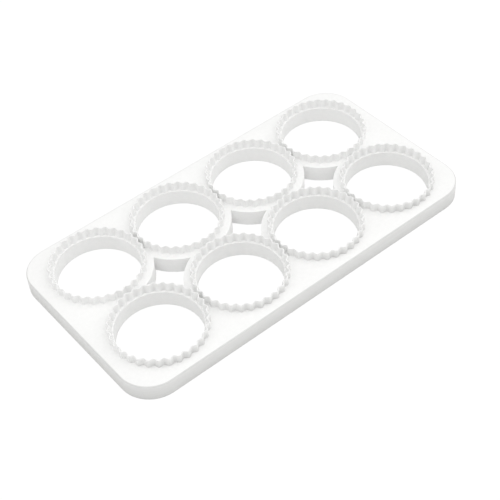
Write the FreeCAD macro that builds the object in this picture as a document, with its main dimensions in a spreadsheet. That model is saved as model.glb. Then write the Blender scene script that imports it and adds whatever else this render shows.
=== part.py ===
import FreeCAD, Part
import os
import Sketcher

# An empanada press: a flat board with eight round bores in two rows of four,
# and a thin fluted cutting wall that stands on the board round each bore.
# A sheet of dough is laid over the walls and rolled, and the cut discs drop
# through the bores. Millimetres. The origin is on the underside at the middle
# of the board, X runs along the rows, Y across them, and Z points up.

COLUMNS = 4
ROW_NAMES = ("b", "a")
FACETS_PER_FLUTE = 4

# How near two lengths are to count as the same.
TOUCHING = 1e-6

# A dimension's value until its expression takes over.
UNSET = 1.0

doc = FreeCAD.newDocument("EmpanadaPress")
sizes = doc.addObject("Spreadsheet::Sheet", "Sizes")

driving_sizes = (
    ("board_thickness", 17.2),
    ("bore_radius", 41.2),
    ("bore_ledge", 0.5),
    ("bore_chamfer", 0.3),
    ("wall_foot", 2.6),
    ("wall_lip", 1.3),
    ("wall_height", 8.8),
    ("flute_count", 31),
    ("flute_depth", 2.5),
    ("column_gap", 0.4),
    ("row_gap", 4.1),
    ("collar_width", 6.3),
    ("end_border", 12.8),
    ("side_border", 9.3),
    ("corner_radius", 32.6),
    ("edge_round", 2.0),
    # The angle, in degrees from the X axis, at which each ring has a crest.
    ("first_crest_b1", 0.5),
    ("first_crest_b2", 10.1),
    ("first_crest_b3", 7.8),
    ("first_crest_b4", 9.0),
    ("first_crest_a1", 9.6),
    ("first_crest_a2", 4.2),
    ("first_crest_a3", 1.2),
    ("first_crest_a4", 4.3),
)

# The rings stand a gap apart, so the pitches of the bores follow from the
# fluted walls, and the board's outline follows from the pitches.
worked_out_sizes = (
    ("ridge_radius", "=bore_radius + bore_ledge"),
    ("groove_radius", "=ridge_radius + wall_foot"),
    ("crest_radius", "=groove_radius + flute_depth"),
    ("column_pitch", "=2 * crest_radius + column_gap"),
    ("row_pitch", "=2 * crest_radius + row_gap"),
    ("window_radius", "=crest_radius + collar_width"),
    ("columns_between", "=%d" % (COLUMNS - 1)),
    ("rows_between", "=%d" % (len(ROW_NAMES) - 1)),
    ("board_length", "=columns_between * column_pitch + 2 * (crest_radius + end_border)"),
    ("board_width", "=rows_between * row_pitch + 2 * (crest_radius + side_border)"),
    ("flutes", "=round(flute_count)"),
    ("half_flute", "=180 / flutes"),
    ("lobe_chord", "=groove_radius * sin(half_flute)"),
    ("lobe_rise", "=crest_radius - groove_radius * cos(half_flute)"),
    ("lobe_radius", "=(lobe_chord ^ 2 + lobe_rise ^ 2) / (2 * lobe_rise)"),
    ("lobe_centre", "=crest_radius - lobe_radius"),
    ("lobe_turn", "=2 * atan(lobe_rise / lobe_chord)"),
    # The inner face's size as a share of the outer face's, at the foot and at the lip.
    ("foot_share", "=ridge_radius / groove_radius"),
    ("lip_share", "=1 - wall_lip / crest_radius"),
)

for row, (alias, content) in enumerate(driving_sizes + worked_out_sizes, start=1):
    sizes.set("A%d" % row, alias)
    sizes.set("B%d" % row, str(content))
    sizes.setAlias("B%d" % row, alias)
doc.recompute()


def origin_feature(body, role):
    return [item for item in body.Origin.OriginFeatures if item.Role == role][0]


def new_body(label):
    body = doc.addObject("PartDesign::Body", label)
    body.Label = label
    return body


def new_sketch(body, name):
    """A sketch on the body's own ground plane."""
    sketch = body.newObject("Sketcher::SketchObject", name)
    sketch.AttachmentSupport = [(origin_feature(body, "XY_Plane"), "")]
    sketch.MapMode = "FlatFace"
    return sketch


def dimension(sketch, name, kind, where, expression):
    """A named constraint whose value comes from the sheet."""
    index = sketch.addConstraint(Sketcher.Constraint(kind, *where, UNSET))
    sketch.renameConstraint(index, name)
    sketch.setExpression("Constraints." + name, expression)


def edge_names(shape, test):
    """The names of the edges that pass a test on their geometry."""
    return ["Edge%d" % number for number, edge in enumerate(shape.Edges, start=1) if test(edge)]


def dress(body, kind, name, test, expression):
    """A fillet or a chamfer on the edges of the body's last feature that pass a test."""
    doc.recompute()
    base = body.Tip
    feature = body.newObject("PartDesign::" + kind, name)
    feature.Base = (base, edge_names(base.Shape, test))
    feature.setExpression("Radius" if kind == "Fillet" else "Size", expression)
    body.Tip = feature
    doc.recompute()
    return feature


def row_pattern(body, original, name, copies):
    """Copies along X, one column pitch apart."""
    pattern = body.newObject("PartDesign::LinearPattern", name)
    pattern.Originals = [original]
    pattern.Direction = (origin_feature(body, "X_Axis"), [""])
    pattern.setExpression("Length", "Sizes.column_pitch * %d" % (copies - 1))
    pattern.Occurrences = copies
    body.Tip = pattern
    doc.recompute()
    return pattern


def through_cut(body, sketch, name):
    """A pocket that goes up from the underside through the whole board."""
    cut = body.newObject("PartDesign::Pocket", name)
    cut.Profile = sketch
    cut.Type = "ThroughAll"
    cut.Reversed = True
    body.Tip = cut
    doc.recompute()
    return cut


def is_upright(edge):
    return edge.BoundBox.ZLength > sizes.board_thickness / 2


def is_on_top(edge):
    return abs(edge.BoundBox.ZMin - sizes.board_thickness) < TOUCHING


def is_bore_mouth(edge):
    round_edge = edge.Curve.TypeId == "Part::GeomCircle"
    return is_on_top(edge) and round_edge and abs(edge.Curve.Radius - sizes.bore_radius) < TOUCHING


def board_outline(body):
    """A rectangle about the origin."""
    sketch = new_sketch(body, "board_outline")
    corners = [(-1, -1), (1, -1), (1, 1), (-1, 1)]
    points = [FreeCAD.Vector(x * sizes.board_length / 2, y * sizes.board_width / 2, 0) for x, y in corners]
    for start in range(4):
        sketch.addGeometry(Part.LineSegment(points[start], points[(start + 1) % 4]), False)
    for side in range(4):
        sketch.addConstraint(Sketcher.Constraint("Coincident", side, 2, (side + 1) % 4, 1))
        sketch.addConstraint(Sketcher.Constraint(("Horizontal", "Vertical")[side % 2], side))
    sketch.addConstraint(Sketcher.Constraint("Symmetric", 0, 1, 2, 1, -1, 1))
    dimension(sketch, "length", "DistanceX", (0, 1, 0, 2), "Sizes.board_length")
    dimension(sketch, "width", "DistanceY", (1, 1, 1, 2), "Sizes.board_width")
    return sketch


def bore_pair(body):
    """The two bores of the first column, one on each side of the X axis."""
    sketch = new_sketch(body, "bore_pair")
    sketch.setExpression(".AttachmentOffset.Base.x", "-Sizes.column_pitch * Sizes.columns_between / 2")
    for side in (-1, 1):
        centre = FreeCAD.Vector(0, side * sizes.row_pitch / 2, 0)
        sketch.addGeometry(Part.Circle(centre, FreeCAD.Vector(0, 0, 1), sizes.bore_radius), False)
    sketch.addConstraint(Sketcher.Constraint("PointOnObject", 0, 3, -2))
    sketch.addConstraint(Sketcher.Constraint("Symmetric", 0, 3, 1, 3, -1, 1))
    sketch.addConstraint(Sketcher.Constraint("Equal", 0, 1))
    dimension(sketch, "row_spacing", "DistanceY", (0, 3, 1, 3), "Sizes.row_pitch")
    dimension(sketch, "bore", "Radius", (0,), "Sizes.bore_radius")
    return sketch


def star_window(body):
    """The gap among four rings, bounded by an arc about each ring's centre."""
    sketch = new_sketch(body, "star_window")
    sketch.setExpression(".AttachmentOffset.Base.x", "-Sizes.column_pitch * (Sizes.columns_between - 1) / 2")
    half_x = sizes.column_pitch / 2
    half_y = sizes.row_pitch / 2
    reach_x = half_x - (sizes.window_radius ** 2 - half_y ** 2) ** 0.5
    reach_y = half_y - (sizes.window_radius ** 2 - half_x ** 2) ** 0.5
    cusps = [(-reach_x, 0), (0, -reach_y), (reach_x, 0), (0, reach_y)]
    for index, (x, y) in enumerate([(-1, -1), (1, -1), (1, 1), (-1, 1)]):
        centre = FreeCAD.Vector(x * half_x, y * half_y, 0)
        circle = Part.Circle(centre, FreeCAD.Vector(0, 0, 1), sizes.window_radius)
        turns = [circle.parameter(FreeCAD.Vector(*cusps[corner % 4], 0)) for corner in (index + 1, index)]
        sketch.addGeometry(Part.ArcOfCircle(circle, *turns), False)
    for index in range(4):
        sketch.addConstraint(Sketcher.Constraint("Coincident", index, 1, (index + 1) % 4, 2))
    dimension(sketch, "left_centre", "DistanceX", (0, 3, -1, 1), "Sizes.column_pitch / 2")
    dimension(sketch, "near_centre", "DistanceY", (0, 3, -1, 1), "Sizes.row_pitch / 2")
    sketch.addConstraint(Sketcher.Constraint("Symmetric", 0, 3, 2, 3, -1, 1))
    sketch.addConstraint(Sketcher.Constraint("Horizontal", 0, 3, 1, 3))
    sketch.addConstraint(Sketcher.Constraint("Vertical", 1, 3, 2, 3))
    sketch.addConstraint(Sketcher.Constraint("Horizontal", 2, 3, 3, 3))
    sketch.addConstraint(Sketcher.Constraint("Vertical", 3, 3, 0, 3))
    for index in range(3):
        sketch.addConstraint(Sketcher.Constraint("Equal", index, index + 1))
    dimension(sketch, "window", "Radius", (0,), "Sizes.window_radius")
    return sketch


def make_base_plate():
    body = new_body("base_plate")
    slab = body.newObject("PartDesign::Pad", "slab")
    slab.Profile = board_outline(body)
    slab.setExpression("Length", "Sizes.board_thickness")
    body.Tip = slab
    dress(body, "Fillet", "corners", is_upright, "Sizes.corner_radius")
    dress(body, "Fillet", "top_edge", is_on_top, "Sizes.edge_round")
    bores = through_cut(body, bore_pair(body), "first_bores")
    row_pattern(body, bores, "bores", COLUMNS)
    dress(body, "Chamfer", "bore_edges", is_bore_mouth, "Sizes.bore_chamfer")
    windows = through_cut(body, star_window(body), "first_window")
    row_pattern(body, windows, "windows", COLUMNS - 1)
    return body


def flute_point(turn_share, inner_alias):
    """Expressions for a point of a flute: how far it lies along the flute's middle line, and aside from it.

    The outer face is a round lobe. With an inner share named, the point lies on the inner face.
    """
    along = "(Sizes.lobe_centre + Sizes.lobe_radius * cos(%r * Sizes.lobe_turn))" % turn_share
    aside = "(Sizes.lobe_radius * sin(%r * Sizes.lobe_turn))" % abs(turn_share)
    if inner_alias is None:
        return along, aside
    return "Sizes.%s * %s" % (inner_alias, along), "Sizes.%s * %s" % (inner_alias, aside)


def flute_sector(body, name, inner_alias):
    """One flute between two rays, as a closed outline with flat facets."""
    sketch = new_sketch(body, name)
    turn_shares = [2 * step / FACETS_PER_FLUTE - 1 for step in range(FACETS_PER_FLUTE + 1)]
    corners = [(share, None) for share in turn_shares]
    corners += [(share, inner_alias) for share in reversed(turn_shares)]
    points = []
    for share, face in corners:
        along, aside = (sizes.evalExpression(text) for text in flute_point(share, face))
        points.append(FreeCAD.Vector(along, aside if share > 0 else -aside, 0))
    for index, point in enumerate(points):
        sketch.addGeometry(Part.LineSegment(point, points[(index + 1) % len(points)]), False)
    for index, (share, face) in enumerate(corners):
        along, aside = flute_point(share, face)
        sketch.addConstraint(Sketcher.Constraint("Coincident", index, 2, (index + 1) % len(points), 1))
        dimension(sketch, "along%d" % index, "DistanceX", (-1, 1, index, 1), along)
        if share == 0:
            sketch.addConstraint(Sketcher.Constraint("PointOnObject", index, 1, -1))
            continue
        ends = (-1, 1, index, 1) if share > 0 else (index, 1, -1, 1)
        dimension(sketch, "aside%d" % index, "DistanceY", ends, aside)
    return sketch


def make_cutter_ring(row, column):
    """A fluted wall, standing on the board about the centre of one bore, that thins upward on its inside."""
    place = "%s%d" % (ROW_NAMES[row], column + 1)
    body = new_body("cutter_ring_" + place)
    foot = flute_sector(body, "foot", "foot_share")
    lip = flute_sector(body, "lip", "lip_share")
    lip.setExpression(".AttachmentOffset.Base.z", "Sizes.wall_height")
    doc.recompute()
    flute = body.newObject("PartDesign::AdditiveLoft", "flute")
    flute.Profile = foot
    flute.Sections = [lip]
    flute.Ruled = True
    body.Tip = flute
    doc.recompute()
    flutes = body.newObject("PartDesign::PolarPattern", "flutes")
    flutes.Originals = [flute]
    flutes.Axis = (origin_feature(body, "Z_Axis"), [""])
    flutes.setExpression("Occurrences", "Sizes.flutes")
    body.Tip = flutes
    body.setExpression(".Placement.Base.x", "Sizes.column_pitch * (%d - Sizes.columns_between / 2)" % column)
    body.setExpression(".Placement.Base.y", "Sizes.row_pitch * (%d - Sizes.rows_between / 2)" % row)
    body.setExpression(".Placement.Base.z", "Sizes.board_thickness")
    body.setExpression(".Placement.Rotation.Angle", "Sizes.first_crest_" + place)
    doc.recompute()
    return body


pieces = [make_base_plate()]
for row in range(len(ROW_NAMES)):
    for column in range(COLUMNS):
        pieces.append(make_cutter_ring(row, column))
doc.recompute()

for item in doc.Objects:
    if "Invalid" in item.State or "Error" in item.State:
        raise RuntimeError("%s failed: %s" % (item.Name, item.State))
os.makedirs("parts", exist_ok=True)
for piece in pieces:
    if piece.Shape.isNull() or not piece.Shape.isValid() or len(piece.Shape.Solids) != 1:
        raise RuntimeError("%s has no sound solid" % piece.Label)
    piece.Shape.exportStep("parts/%s.step" % piece.Label)
    print(piece.Label, round(piece.Shape.Volume, 1), piece.Shape.BoundBox)
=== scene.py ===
import functools
import math

import bmesh
import bpy
import numpy as np
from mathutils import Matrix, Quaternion, Vector


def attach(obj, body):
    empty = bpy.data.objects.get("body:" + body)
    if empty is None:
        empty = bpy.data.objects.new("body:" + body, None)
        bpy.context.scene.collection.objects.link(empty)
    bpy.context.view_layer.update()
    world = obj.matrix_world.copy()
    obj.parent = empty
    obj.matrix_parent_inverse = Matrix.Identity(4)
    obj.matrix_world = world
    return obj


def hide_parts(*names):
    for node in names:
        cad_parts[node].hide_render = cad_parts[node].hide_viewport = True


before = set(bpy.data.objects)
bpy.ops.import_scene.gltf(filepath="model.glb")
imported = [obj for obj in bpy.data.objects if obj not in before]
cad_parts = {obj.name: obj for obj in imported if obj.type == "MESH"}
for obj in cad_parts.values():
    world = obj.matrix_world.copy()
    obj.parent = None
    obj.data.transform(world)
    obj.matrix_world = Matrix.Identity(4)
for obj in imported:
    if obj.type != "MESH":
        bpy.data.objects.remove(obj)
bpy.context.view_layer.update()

MM = 0.001
FULL_TURN = 2 * math.pi
QUARTER_TURN = math.pi / 2

# The board and the rings, in millimetres, as the solids have them.
COLUMNS = 4
ROWS = 2
COLUMN_PITCH = 94.0
ROW_PITCH = 97.7
BOARD_TOP = 17.2
WALL_TOP = 26.0
BORE_RADIUS = 41.2
WINDOW_RADIUS = 53.1
END_BORDER = 12.8
SIDE_BORDER = 9.3
CORNER_RADIUS = 32.6
GROOVE_RADIUS = 44.3
CREST_RADIUS = 46.8
WALL_FOOT = 2.6
WALL_LIP = 1.3
FLUTES = 31

# Each ring's column and row, and the angle in degrees of one of its crests.
RINGS = {
    "b1": (0, 0, 1.9),
    "b2": (1, 0, 11.6),
    "b3": (2, 0, 9.6),
    "b4": (3, 0, 11.3),
    "a1": (0, 1, 10.5),
    "a2": (1, 1, 5.5),
    "a3": (2, 1, 2.5),
    "a4": (3, 1, 6.4),
}

# The small rounds, in millimetres: along the walls' lips and feet, along the board's top edge, and along
# the mouths of the bores and windows.
LIP_ROUND = 0.6
FOOT_ROUND = 0.4
EDGE_ROUND = 1.4
MOUTH_ROUND = 0.35

# How finely a flute, a bore, a corner and an arc of a window are drawn, and the angles of a small round's
# points.
STEPS_PER_FLUTE = 16
BORE_STEPS = 144
CORNER_STEPS = 24
ARC_STEPS = 24
ROUND_POINTS = 5
ROUND_ANGLES = np.radians(np.linspace(0, 90, ROUND_POINTS))

# Faces that meet at more than this angle keep a crisp edge.
CRISP_ANGLE = math.radians(40)

# Painted shade: how far the plastic's pale skin colour is darkened towards a grey, from 0 for none to 1 for
# the full grey, standing in for shade where less light falls. A side of the board has three values: along its
# small round, at its top and at its foot, so that its edge round and its foot are painted darker.
SIDE_PAINTED_SHADE = (0.7, 0.4, 0.8)
WINDOW_PAINTED_SHADE = (0.0, 0.0, 0.0)

# The bores' and the walls' painted shade is given for the near row and then for the far row. A wall's outside
# is painted darkest where it faces the near side, and its inside in the hollows between its ridges. Both are
# full at the foot and down to a share of that at the lip.
BORE_PAINTED_SHADES = ((0.0, 0.27, 0.27), (0.0, 0.17, 0.17))
OUTSIDE_PAINTED_SHADES = (0.75, 0.06)
HOLLOW_PAINTED_SHADES = (0.46, 0.18)
LIP_SHARE = 0.1

# The plastic: two shades of its skin and two of the grey that its painted shade darkens it towards, the
# grains to the metre along each axis of the mottling and of the fine level lines, and how rough, shiny and
# bumpy it is. The bump's depth is in metres.
SKIN_SHADES = ((0.905, 0.905, 0.9, 1), (0.965, 0.965, 0.962, 1))
PAINTED_SHADE_GREYS = ((0.6, 0.6, 0.59, 1), (0.7, 0.7, 0.69, 1))
MOTTLE_GRAINS = (330.0, 330.0, 330.0)
MOTTLE_DETAIL = 3.0
LINE_GRAINS = (25.0, 25.0, 900.0)
LINE_DETAIL = 2.0
ROUGHNESS = 0.5
REFRACTION = 1.45
SHINE = 0.3
BUMP_STRENGTH = 0.08
BUMP_DEPTH = 0.0002

# The camera, in metres, from a fit to the bores' rims and the board's outline.
CAMERA_PLACE = (-0.46968, -0.65097, 0.80976)
CAMERA_TURN = (0.8689523, 0.3610715, -0.1001732, -0.3232870)
FOCAL_PIXELS = 1163.8
PICTURE_PIXELS = 500
SENSOR_WIDTH = 36.0

# The floor, in metres. Light bounces off it as off paper. The camera sees it glow, with a faint share of its
# shading left so that the shadow shows.
FLOOR_HALF_SIDE = 6.0
FLOOR_HEIGHT = -0.0002
PAPER = (0.88, 0.88, 0.88, 1)
SHADOW_SHARE = (0.08, 0.08, 0.08, 1)
FLOOR_GLOW = 0.95

# The studio's broad soft lights: the direction that each comes from, how tight it is, and its level.
SOFT_LIGHTS = (
    ((0.0, 0.0, 1.0), 1.0, 1.172),
    ((0.781, -0.568, 0.259), 2.0, 0.64),
    ((0.94, 0.0, 0.342), 8.0, 0.30),
    ((-0.908, 0.33, 0.259), 4.0, 0.64),
    ((-0.509, -0.701, 0.5), 2.0, 0.15),
)
LIGHT_COLOUR = (1.0, 1.0, 0.995, 1)
WHITE = (1, 1, 1, 1)


def centre(column, row):
    """The middle of a ring and its bore."""
    return Vector(((column - (COLUMNS - 1) / 2) * COLUMN_PITCH, (row - (ROWS - 1) / 2) * ROW_PITCH))


def flute_wave():
    """An even wave over the steps round a ring: 1 on the crests and -1 in the grooves."""
    return np.cos(np.arange(FLUTES * STEPS_PER_FLUTE) / STEPS_PER_FLUTE * FULL_TURN)


def wall_levels():
    """A wall's section as a closed run of levels: the radius at each step round the ring, the height, and how
    much of the outside's and the hollows' painted shade the level takes."""
    outer = (CREST_RADIUS + GROOVE_RADIUS) / 2 + (CREST_RADIUS - GROOVE_RADIUS) / 2 * flute_wave()
    inner_foot = outer * (1 - WALL_FOOT / GROOVE_RADIUS)
    inner_lip = outer * (1 - WALL_LIP / CREST_RADIUS)
    levels = []
    for a in ROUND_ANGLES:
        radius = outer + FOOT_ROUND * (1 - math.sin(a))
        levels.append((radius, BOARD_TOP + FOOT_ROUND * (1 - math.cos(a)), (1.0, 0.0)))
    for a in ROUND_ANGLES:
        inset = LIP_ROUND * (1 - math.cos(a))
        drop = LIP_ROUND * (1 - math.sin(a))
        levels.append((outer - inset, WALL_TOP - drop, (LIP_SHARE * math.cos(a), 0.0)))
    for a in ROUND_ANGLES[::-1]:
        inset = LIP_ROUND * (1 - math.cos(a))
        drop = LIP_ROUND * (1 - math.sin(a))
        levels.append((inner_lip + inset, WALL_TOP - drop, (0.0, LIP_SHARE * math.cos(a))))
    levels.append((inner_foot, BOARD_TOP, (0.0, 1.0)))
    return levels


def arc(middle, radius, start, end, steps):
    """Points along a round stretch, both ends included."""
    angles = np.linspace(start, end, steps + 1)
    return [middle + radius * Vector((math.cos(a), math.sin(a))) for a in angles]


def board_outline(inset):
    """The board's outline, drawn in by a distance."""
    half_length = (COLUMNS - 1) / 2 * COLUMN_PITCH + CREST_RADIUS + END_BORDER
    half_width = (ROWS - 1) / 2 * ROW_PITCH + CREST_RADIUS + SIDE_BORDER
    points = []
    for quarter, (x, y) in enumerate([(1, 1), (-1, 1), (-1, -1), (1, -1)]):
        middle = Vector((x * (half_length - CORNER_RADIUS), y * (half_width - CORNER_RADIUS)))
        start = quarter * QUARTER_TURN
        points += arc(middle, CORNER_RADIUS - inset, start, start + QUARTER_TURN, CORNER_STEPS)
    return points


def bore_outline(column, row, widening):
    """A bore's circle, widened by a distance."""
    return arc(centre(column, row), BORE_RADIUS + widening, 0, FULL_TURN, BORE_STEPS)[:-1]


def window_outline(column, widening):
    """Four arcs about the rings round a window, which meet in points. The window is widened by a distance."""
    middle = (centre(column, 0) + centre(column + 1, 1)) / 2
    half_x = COLUMN_PITCH / 2
    half_y = ROW_PITCH / 2
    radius = WINDOW_RADIUS - widening
    reach_x = half_x - math.sqrt(radius ** 2 - half_y ** 2)
    reach_y = half_y - math.sqrt(radius ** 2 - half_x ** 2)
    cusps = [Vector((-reach_x, 0)), Vector((0, -reach_y)), Vector((reach_x, 0)), Vector((0, reach_y))]
    points = []
    for quarter, (x, y) in enumerate([(-1, -1), (1, -1), (1, 1), (-1, 1)]):
        ring = Vector((x * half_x, y * half_y))
        start = cusps[quarter] - ring
        end = cusps[(quarter + 1) % len(cusps)] - ring
        start_angle = math.atan2(start.y, start.x)
        end_angle = math.atan2(end.y, end.x)
        points += arc(middle + ring, radius, start_angle, end_angle, ARC_STEPS)[:-1]
    return points


def board_outlines():
    """The outlines of the board, its bores and its windows, each with its small round and its painted shade.
    """
    outlines = [(board_outline, EDGE_ROUND, SIDE_PAINTED_SHADE)]
    for column in range(COLUMNS):
        for row in range(ROWS):
            outlines.append((functools.partial(bore_outline, column, row), MOUTH_ROUND, BORE_PAINTED_SHADES[row]))
    for column in range(COLUMNS - 1):
        outlines.append((functools.partial(window_outline, column), MOUTH_ROUND, WINDOW_PAINTED_SHADE))
    return outlines


def side_levels(edge_round, painted_shades):
    """A side's levels from the top down: how far each is off the outline, its height and its painted shade.
    """
    round_shade, top_shade, foot_shade = painted_shades
    round_shades = (0.0,) + (round_shade,) * (ROUND_POINTS - 2) + (top_shade,)
    levels = []
    for a, painted_shade in zip(ROUND_ANGLES[::-1], round_shades):
        drop = edge_round * (1 - math.sin(a))
        levels.append((edge_round * (1 - math.cos(a)), BOARD_TOP - drop, painted_shade))
    levels.append((0, 0, foot_shade))
    return levels


def add_side(form, greyness, outline, levels):
    """Adds a side of the board. Returns its loops of corners, from the top down."""
    loops = []
    for offset, z, _ in levels:
        loops.append([form.verts.new((point.x * MM, point.y * MM, z * MM)) for point in outline(offset)])
    painted_shades = [painted_shade for _, _, painted_shade in levels]
    for upper, lower, upper_shade, lower_shade in zip(loops, loops[1:], painted_shades, painted_shades[1:]):
        for k in range(len(upper)):
            following = (k + 1) % len(upper)
            face = form.faces.new((upper[k], upper[following], lower[following], lower[k]))
            face.smooth = True
            # Each corner takes its level's painted shade.
            for corner, painted_shade in zip(face.loops, (upper_shade, upper_shade, lower_shade, lower_shade)):
                corner[greyness] = painted_shade
    return loops


def loop_edges(form, loop):
    """The edges along a closed loop of corners."""
    return [form.edges.get((loop[k], loop[(k + 1) % len(loop)])) for k in range(len(loop))]


def finish_piece(name, mesh):
    """Makes a mesh a piece that rides on the one body."""
    mesh.validate()
    mesh.set_sharp_from_angle(angle=CRISP_ANGLE)
    piece = bpy.data.objects.new(name, mesh)
    bpy.context.scene.collection.objects.link(piece)
    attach(piece, "root")
    return piece


def board_piece(name):
    """The plate with its bores and windows: round-edged sides, filled in by a flat top and underside."""
    form = bmesh.new()
    # A value at each corner for the painted shade.
    greyness = form.loops.layers.float.new("painted_shade")
    top_edges = []
    bottom_edges = []
    for outline, edge_round, painted_shades in board_outlines():
        loops = add_side(form, greyness, outline, side_levels(edge_round, painted_shades))
        top_edges += loop_edges(form, loops[0])
        bottom_edges += loop_edges(form, loops[-1])
    for edges in (top_edges, bottom_edges):
        bmesh.ops.triangle_fill(form, use_beauty=True, edges=edges)
    bmesh.ops.recalc_face_normals(form, faces=form.faces)
    mesh = bpy.data.meshes.new(name)
    form.to_mesh(mesh)
    form.free()
    return finish_piece(name, mesh)


def ring_piece(name, column, row, first_crest):
    """A fluted wall, as a closed run of levels round the ring."""
    levels = wall_levels()
    count = FLUTES * STEPS_PER_FLUTE
    angles = math.radians(first_crest) + np.arange(count) / count * FULL_TURN
    middle = centre(column, row)
    # Painted shade: darker on the outside where it faces the near side, and on the inside in the hollows
    # between the ridges.
    outside_shade = OUTSIDE_PAINTED_SHADES[row] * np.clip(-np.sin(angles), 0, 1)
    hollow_shade = HOLLOW_PAINTED_SHADES[row] * (1 + flute_wave()) / 2
    verts = []
    greyness = []
    for radius, z, (outside_share, hollow_share) in levels:
        greyness += list(outside_share * outside_shade + hollow_share * hollow_shade)
        for r, a in zip(radius, angles):
            verts.append(((middle.x + r * math.cos(a)) * MM, (middle.y + r * math.sin(a)) * MM, z * MM))
    faces = []
    for level in range(len(levels)):
        first = level * count
        above = (level + 1) % len(levels) * count
        for k in range(count):
            following = (k + 1) % count
            faces.append((first + k, first + following, above + following, above + k))
    mesh = bpy.data.meshes.new(name)
    mesh.from_pydata(verts, [], faces)
    mesh.polygons.foreach_set("use_smooth", [True] * len(faces))
    mesh.attributes.new("painted_shade", "FLOAT", "POINT").data.foreach_set("value", greyness)
    return finish_piece(name, mesh)


def empty_tree(owner, output_kind):
    """The nodes and links of a material or world, emptied, and a new output node."""
    owner.use_nodes = True
    nodes = owner.node_tree.nodes
    nodes.clear()
    return nodes, owner.node_tree.links, nodes.new(output_kind)


def blend(nodes, links, factor, first, second):
    """A mix of two colours, each a fixed one or a socket's."""
    node = nodes.new("ShaderNodeMix")
    node.data_type = "RGBA"
    links.new(factor, node.inputs["Factor"])
    for socket, colour in (("A", first), ("B", second)):
        if isinstance(colour, tuple):
            node.inputs[socket].default_value = colour
        else:
            links.new(colour, node.inputs[socket])
    return node.outputs["Result"]


def noise(nodes, links, grains, detail):
    """Noise in the part's own metres, with a number of grains to the metre along each axis."""
    place = nodes.new("ShaderNodeTexCoord")
    scaled = nodes.new("ShaderNodeVectorMath")
    scaled.operation = "MULTIPLY"
    scaled.inputs[1].default_value = grains
    links.new(place.outputs["Object"], scaled.inputs[0])
    node = nodes.new("ShaderNodeTexNoise")
    node.inputs["Scale"].default_value = 1.0
    node.inputs["Detail"].default_value = detail
    links.new(scaled.outputs["Vector"], node.inputs["Vector"])
    return node.outputs["Fac"]


def plastic(name):
    """White plastic: a faintly mottled skin, darkened towards a grey with fine level lines as painted shade.
    """
    material = bpy.data.materials.new(name)
    nodes, links, out = empty_tree(material, "ShaderNodeOutputMaterial")
    shader = nodes.new("ShaderNodeBsdfPrincipled")
    shader.inputs["Roughness"].default_value = ROUGHNESS
    shader.inputs["IOR"].default_value = REFRACTION
    shader.inputs["Specular IOR Level"].default_value = SHINE
    links.new(shader.outputs["BSDF"], out.inputs["Surface"])
    mottle = noise(nodes, links, MOTTLE_GRAINS, MOTTLE_DETAIL)
    lines = noise(nodes, links, LINE_GRAINS, LINE_DETAIL)
    skin = blend(nodes, links, mottle, *SKIN_SHADES)
    shaded_grey = blend(nodes, links, lines, *PAINTED_SHADE_GREYS)
    # The painted shade at each corner blends the skin towards the grey.
    painted_shade = nodes.new("ShaderNodeAttribute")
    painted_shade.attribute_name = "painted_shade"
    links.new(blend(nodes, links, painted_shade.outputs["Fac"], skin, shaded_grey), shader.inputs["Base Color"])
    bump = nodes.new("ShaderNodeBump")
    bump.inputs["Strength"].default_value = BUMP_STRENGTH
    bump.inputs["Distance"].default_value = BUMP_DEPTH
    links.new(mottle, bump.inputs["Height"])
    links.new(bump.outputs["Normal"], shader.inputs["Normal"])
    return material


def add_camera():
    """The photo's camera."""
    camera_data = bpy.data.cameras.new("camera")
    camera_data.sensor_width = SENSOR_WIDTH
    camera_data.lens = SENSOR_WIDTH * FOCAL_PIXELS / PICTURE_PIXELS
    camera = bpy.data.objects.new("camera", camera_data)
    camera.location = CAMERA_PLACE
    camera.rotation_mode = "QUATERNION"
    camera.rotation_quaternion = Quaternion(CAMERA_TURN)
    bpy.context.scene.collection.objects.link(camera)
    bpy.context.scene.camera = camera


def split_for_camera(nodes, links, out, others, seen):
    """Gives camera rays the shader that is seen, and all other rays the other one."""
    path = nodes.new("ShaderNodeLightPath")
    pick = nodes.new("ShaderNodeMixShader")
    links.new(path.outputs["Is Camera Ray"], pick.inputs["Fac"])
    links.new(others, pick.inputs[1])
    links.new(seen, pick.inputs[2])
    links.new(pick.outputs["Shader"], out.inputs["Surface"])


def diffuse(nodes, colour):
    """A matt shader of one colour."""
    node = nodes.new("ShaderNodeBsdfDiffuse")
    node.inputs["Color"].default_value = colour
    return node.outputs["BSDF"]


def paper_material(name):
    """Pale paper that looks white to the camera and still takes a faint shadow."""
    material = bpy.data.materials.new(name)
    nodes, links, out = empty_tree(material, "ShaderNodeOutputMaterial")
    glow = nodes.new("ShaderNodeEmission")
    glow.inputs["Strength"].default_value = FLOOR_GLOW
    seen = nodes.new("ShaderNodeAddShader")
    links.new(diffuse(nodes, SHADOW_SHARE), seen.inputs[0])
    links.new(glow.outputs["Emission"], seen.inputs[1])
    split_for_camera(nodes, links, out, diffuse(nodes, PAPER), seen.outputs["Shader"])
    return material


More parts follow.
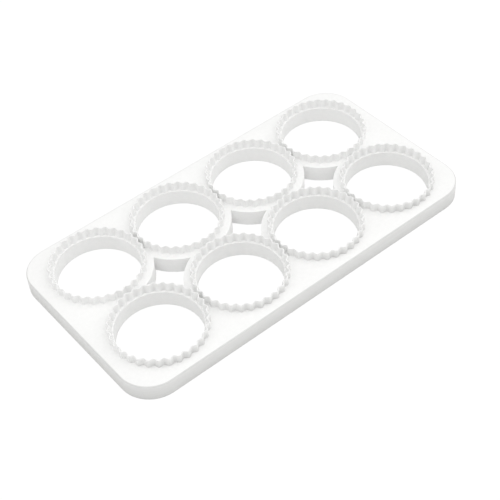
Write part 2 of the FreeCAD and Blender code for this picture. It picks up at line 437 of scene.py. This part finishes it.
def add_floor():
    """A wide level floor just under the board."""
    side = FLOOR_HALF_SIDE
    corners = [(-side, -side, 0), (side, -side, 0), (side, side, 0), (-side, side, 0)]
    floor_mesh = bpy.data.meshes.new("floor")
    floor_mesh.from_pydata(corners, [], [(0, 1, 2, 3)])
    floor_mesh.materials.append(paper_material("floor"))
    floor = bpy.data.objects.new("floor", floor_mesh)
    floor.location.z = FLOOR_HEIGHT
    bpy.context.scene.collection.objects.link(floor)


def maths(nodes, links, operation, first, second):
    """The outcome of an operation on two values, each a number or a socket."""
    node = nodes.new("ShaderNodeMath")
    node.operation = operation
    for socket, value in zip(node.inputs, (first, second)):
        if isinstance(value, float):
            socket.default_value = value
        else:
            links.new(value, socket)
    return node.outputs["Value"]


def soft_light(nodes, links, place, direction, tightness, level):
    """Light that is strongest from one direction and fades to none at right angles to it."""
    facing = nodes.new("ShaderNodeVectorMath")
    facing.operation = "DOT_PRODUCT"
    facing.inputs[1].default_value = direction
    links.new(place, facing.inputs[0])
    towards = maths(nodes, links, "MAXIMUM", facing.outputs["Value"], 0.0)
    return maths(nodes, links, "MULTIPLY", maths(nodes, links, "POWER", towards, tightness), level)


def add_studio():
    """The world: soft lights for the object, and plain white for the camera."""
    world = bpy.data.worlds.new("studio")
    bpy.context.scene.world = world
    nodes, links, out = empty_tree(world, "ShaderNodeOutputWorld")
    place = nodes.new("ShaderNodeTexCoord").outputs["Generated"]
    lights = [soft_light(nodes, links, place, *light) for light in SOFT_LIGHTS]
    lit = nodes.new("ShaderNodeBackground")
    lit.inputs["Color"].default_value = LIGHT_COLOUR
    links.new(functools.reduce(functools.partial(maths, nodes, links, "ADD"), lights), lit.inputs["Strength"])
    white = nodes.new("ShaderNodeBackground")
    white.inputs["Color"].default_value = WHITE
    white.inputs["Strength"].default_value = 1.0
    split_for_camera(nodes, links, out, lit.outputs["Background"], white.outputs["Background"])


board_material = plastic("board_plastic")
cutter_material = plastic("cutter_plastic")

board = board_piece("board")
board.data.materials.append(board_material)
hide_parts("base_plate")

for place, (column, row, first_crest) in RINGS.items():
    ring = ring_piece("fluted_ring_" + place, column, row, first_crest)
    ring.data.materials.append(cutter_material)
    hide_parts("cutter_ring_" + place)

add_camera()
add_floor()
add_studio()

bpy.context.scene.view_settings.view_transform = "Standard"
